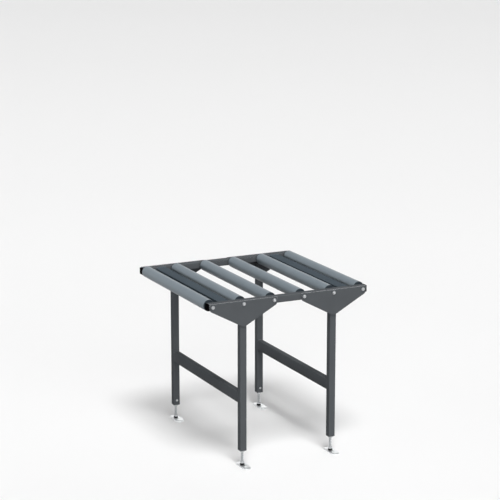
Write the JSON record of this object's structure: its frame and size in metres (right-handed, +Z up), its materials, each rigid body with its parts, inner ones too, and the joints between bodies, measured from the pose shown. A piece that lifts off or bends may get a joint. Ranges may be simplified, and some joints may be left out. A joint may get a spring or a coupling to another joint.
{
  "type": "roller table",
  "caption": "Gravity roller table: free-running plastic rollers between square-tube rails, gusseted to tube legs with crossbars and screw-adjusted feet that bolt to the floor.",
  "frame": {"origin": "on the floor, below the middle of the whole table with its foot plates; the plates reach further to the front, so the rails' middle is 12 mm towards +Y", "axes": "+X along the side rails to the right, +Y along the rollers to the rear, +Z up"},
  "size_m": [0.7699, 0.81, 0.75],
  "materials": {
    "frame_paint": "dark grey fine-texture powder coat",
    "cross_member_paint": "slate grey powder coat",
    "cap_plastic": "black moulded polyethylene",
    "roller_plastic": "grey-blue extruded PVC, satin",
    "housing_plastic": "dark slate moulded polyamide",
    "bearing_steel": "ground bearing steel",
    "axle_steel": "drawn steel bar",
    "insert_steel": "machined steel",
    "zinc": "bright zinc plating",
    "sleeve_plastic": "black moulded plastic"
  },
  "bodies": {
    "frame": {"side_rail_front": "frame_paint", "side_rail_rear": "frame_paint", "crossbar_left": "frame_paint", "crossbar_right": "frame_paint", "gusset_front_left": "frame_paint", "gusset_front_right": "frame_paint", "gusset_rear_left": "frame_paint", "gusset_rear_right": "frame_paint", "leg_front_left": "frame_paint", "leg_front_right": "frame_paint", "leg_rear_left": "frame_paint", "leg_rear_right": "frame_paint", "cross_member_left": "cross_member_paint", "cross_member_right": "cross_member_paint", "rail_end_caps": "cap_plastic", "roller_axle_1": "axle_steel", "roller_axle_2": "axle_steel", "roller_axle_3": "axle_steel", "roller_axle_4": "axle_steel", "roller_axle_5": "axle_steel", "roller_axle_6": "axle_steel", "axle_screws_front": "zinc", "axle_screws_rear": "zinc", "axle_washers": "zinc", "lock_nuts": "zinc", "foot_lock_screws": "zinc", "axle_spacers": "axle_steel", "bearing_inner_rings": "bearing_steel", "leg_inserts": "insert_steel"},
    "roller_1": {"roller_tube_1": "roller_plastic", "roller_housings_1": "housing_plastic", "bearing_outer_rings_1": "bearing_steel"},
    "roller_2": {"roller_tube_2": "roller_plastic", "roller_housings_2": "housing_plastic", "bearing_outer_rings_2": "bearing_steel"},
    "roller_3": {"roller_tube_3": "roller_plastic", "roller_housings_3": "housing_plastic", "bearing_outer_rings_3": "bearing_steel"},
    "roller_4": {"roller_tube_4": "roller_plastic", "roller_housings_4": "housing_plastic", "bearing_outer_rings_4": "bearing_steel"},
    "roller_5": {"roller_tube_5": "roller_plastic", "roller_housings_5": "housing_plastic", "bearing_outer_rings_5": "bearing_steel"},
    "roller_6": {"roller_tube_6": "roller_plastic", "roller_housings_6": "housing_plastic", "bearing_outer_rings_6": "bearing_steel"},
    "foot_plate_front_left": {"foot_plate_front_left": "zinc", "foot_sleeve_front_left": "sleeve_plastic"},
    "foot_stud_front_left": {"foot_stud_front_left": "zinc"},
    "foot_plate_front_right": {"foot_plate_front_right": "zinc", "foot_sleeve_front_right": "sleeve_plastic"},
    "foot_stud_front_right": {"foot_stud_front_right": "zinc"},
    "foot_plate_rear_left": {"foot_plate_rear_left": "zinc", "foot_sleeve_rear_left": "sleeve_plastic"},
    "foot_stud_rear_left": {"foot_stud_rear_left": "zinc"},
    "foot_plate_rear_right": {"foot_plate_rear_right": "zinc", "foot_sleeve_rear_right": "sleeve_plastic"},
    "foot_stud_rear_right": {"foot_stud_rear_right": "zinc"}
  },
  "joints": [
    {"name": "roller_1_spin", "type": "hinge", "parent": "frame", "child": "roller_1", "pos_m": [-0.36, 0.012, 0.725], "axis": [0, 1, 0], "continuous": true},
    {"name": "roller_2_spin", "type": "hinge", "parent": "frame", "child": "roller_2", "pos_m": [-0.216, 0.012, 0.725], "axis": [0, 1, 0], "continuous": true},
    {"name": "roller_3_spin", "type": "hinge", "parent": "frame", "child": "roller_3", "pos_m": [-0.072, 0.012, 0.725], "axis": [0, 1, 0], "continuous": true},
    {"name": "roller_4_spin", "type": "hinge", "parent": "frame", "child": "roller_4", "pos_m": [0.072, 0.012, 0.725], "axis": [0, 1, 0], "continuous": true},
    {"name": "roller_5_spin", "type": "hinge", "parent": "frame", "child": "roller_5", "pos_m": [0.216, 0.012, 0.725], "axis": [0, 1, 0], "continuous": true},
    {"name": "roller_6_spin", "type": "hinge", "parent": "frame", "child": "roller_6", "pos_m": [0.36, 0.012, 0.725], "axis": [0, 1, 0], "continuous": true},
    {"name": "foot_height_front_left", "type": "slide", "parent": "frame", "child": "foot_plate_front_left", "axis": [0, 0, 1], "range_m": [-0.03, 0.04]},
    {"name": "foot_turn_front_left", "type": "hinge", "parent": "foot_plate_front_left", "child": "foot_stud_front_left", "pos_m": [-0.216, -0.343, 0.02], "axis": [0, 0, 1], "continuous": true},
    {"name": "foot_height_front_right", "type": "slide", "parent": "frame", "child": "foot_plate_front_right", "axis": [0, 0, 1], "range_m": [-0.03, 0.04]},
    {"name": "foot_turn_front_right", "type": "hinge", "parent": "foot_plate_front_right", "child": "foot_stud_front_right", "pos_m": [0.216, -0.343, 0.02], "axis": [0, 0, 1], "continuous": true},
    {"name": "foot_height_rear_left", "type": "slide", "parent": "frame", "child": "foot_plate_rear_left", "axis": [0, 0, 1], "range_m": [-0.03, 0.04]},
    {"name": "foot_turn_rear_left", "type": "hinge", "parent": "foot_plate_rear_left", "child": "foot_stud_rear_left", "pos_m": [-0.216, 0.367, 0.02], "axis": [0, 0, 1], "continuous": true},
    {"name": "foot_height_rear_right", "type": "slide", "parent": "frame", "child": "foot_plate_rear_right", "axis": [0, 0, 1], "range_m": [-0.03, 0.04]},
    {"name": "foot_turn_rear_right", "type": "hinge", "parent": "foot_plate_rear_right", "child": "foot_stud_rear_right", "pos_m": [0.216, 0.367, 0.02], "axis": [0, 0, 1], "continuous": true}
  ],
  "couplings": [
    {"joint": "foot_turn_front_left", "follows": "foot_height_front_left", "rad_per_m": 3590.4},
    {"joint": "foot_turn_front_right", "follows": "foot_height_front_right", "rad_per_m": 3590.4},
    {"joint": "foot_turn_rear_left", "follows": "foot_height_rear_left", "rad_per_m": 3590.4},
    {"joint": "foot_turn_rear_right", "follows": "foot_height_rear_right", "rad_per_m": 3590.4}
  ]
}
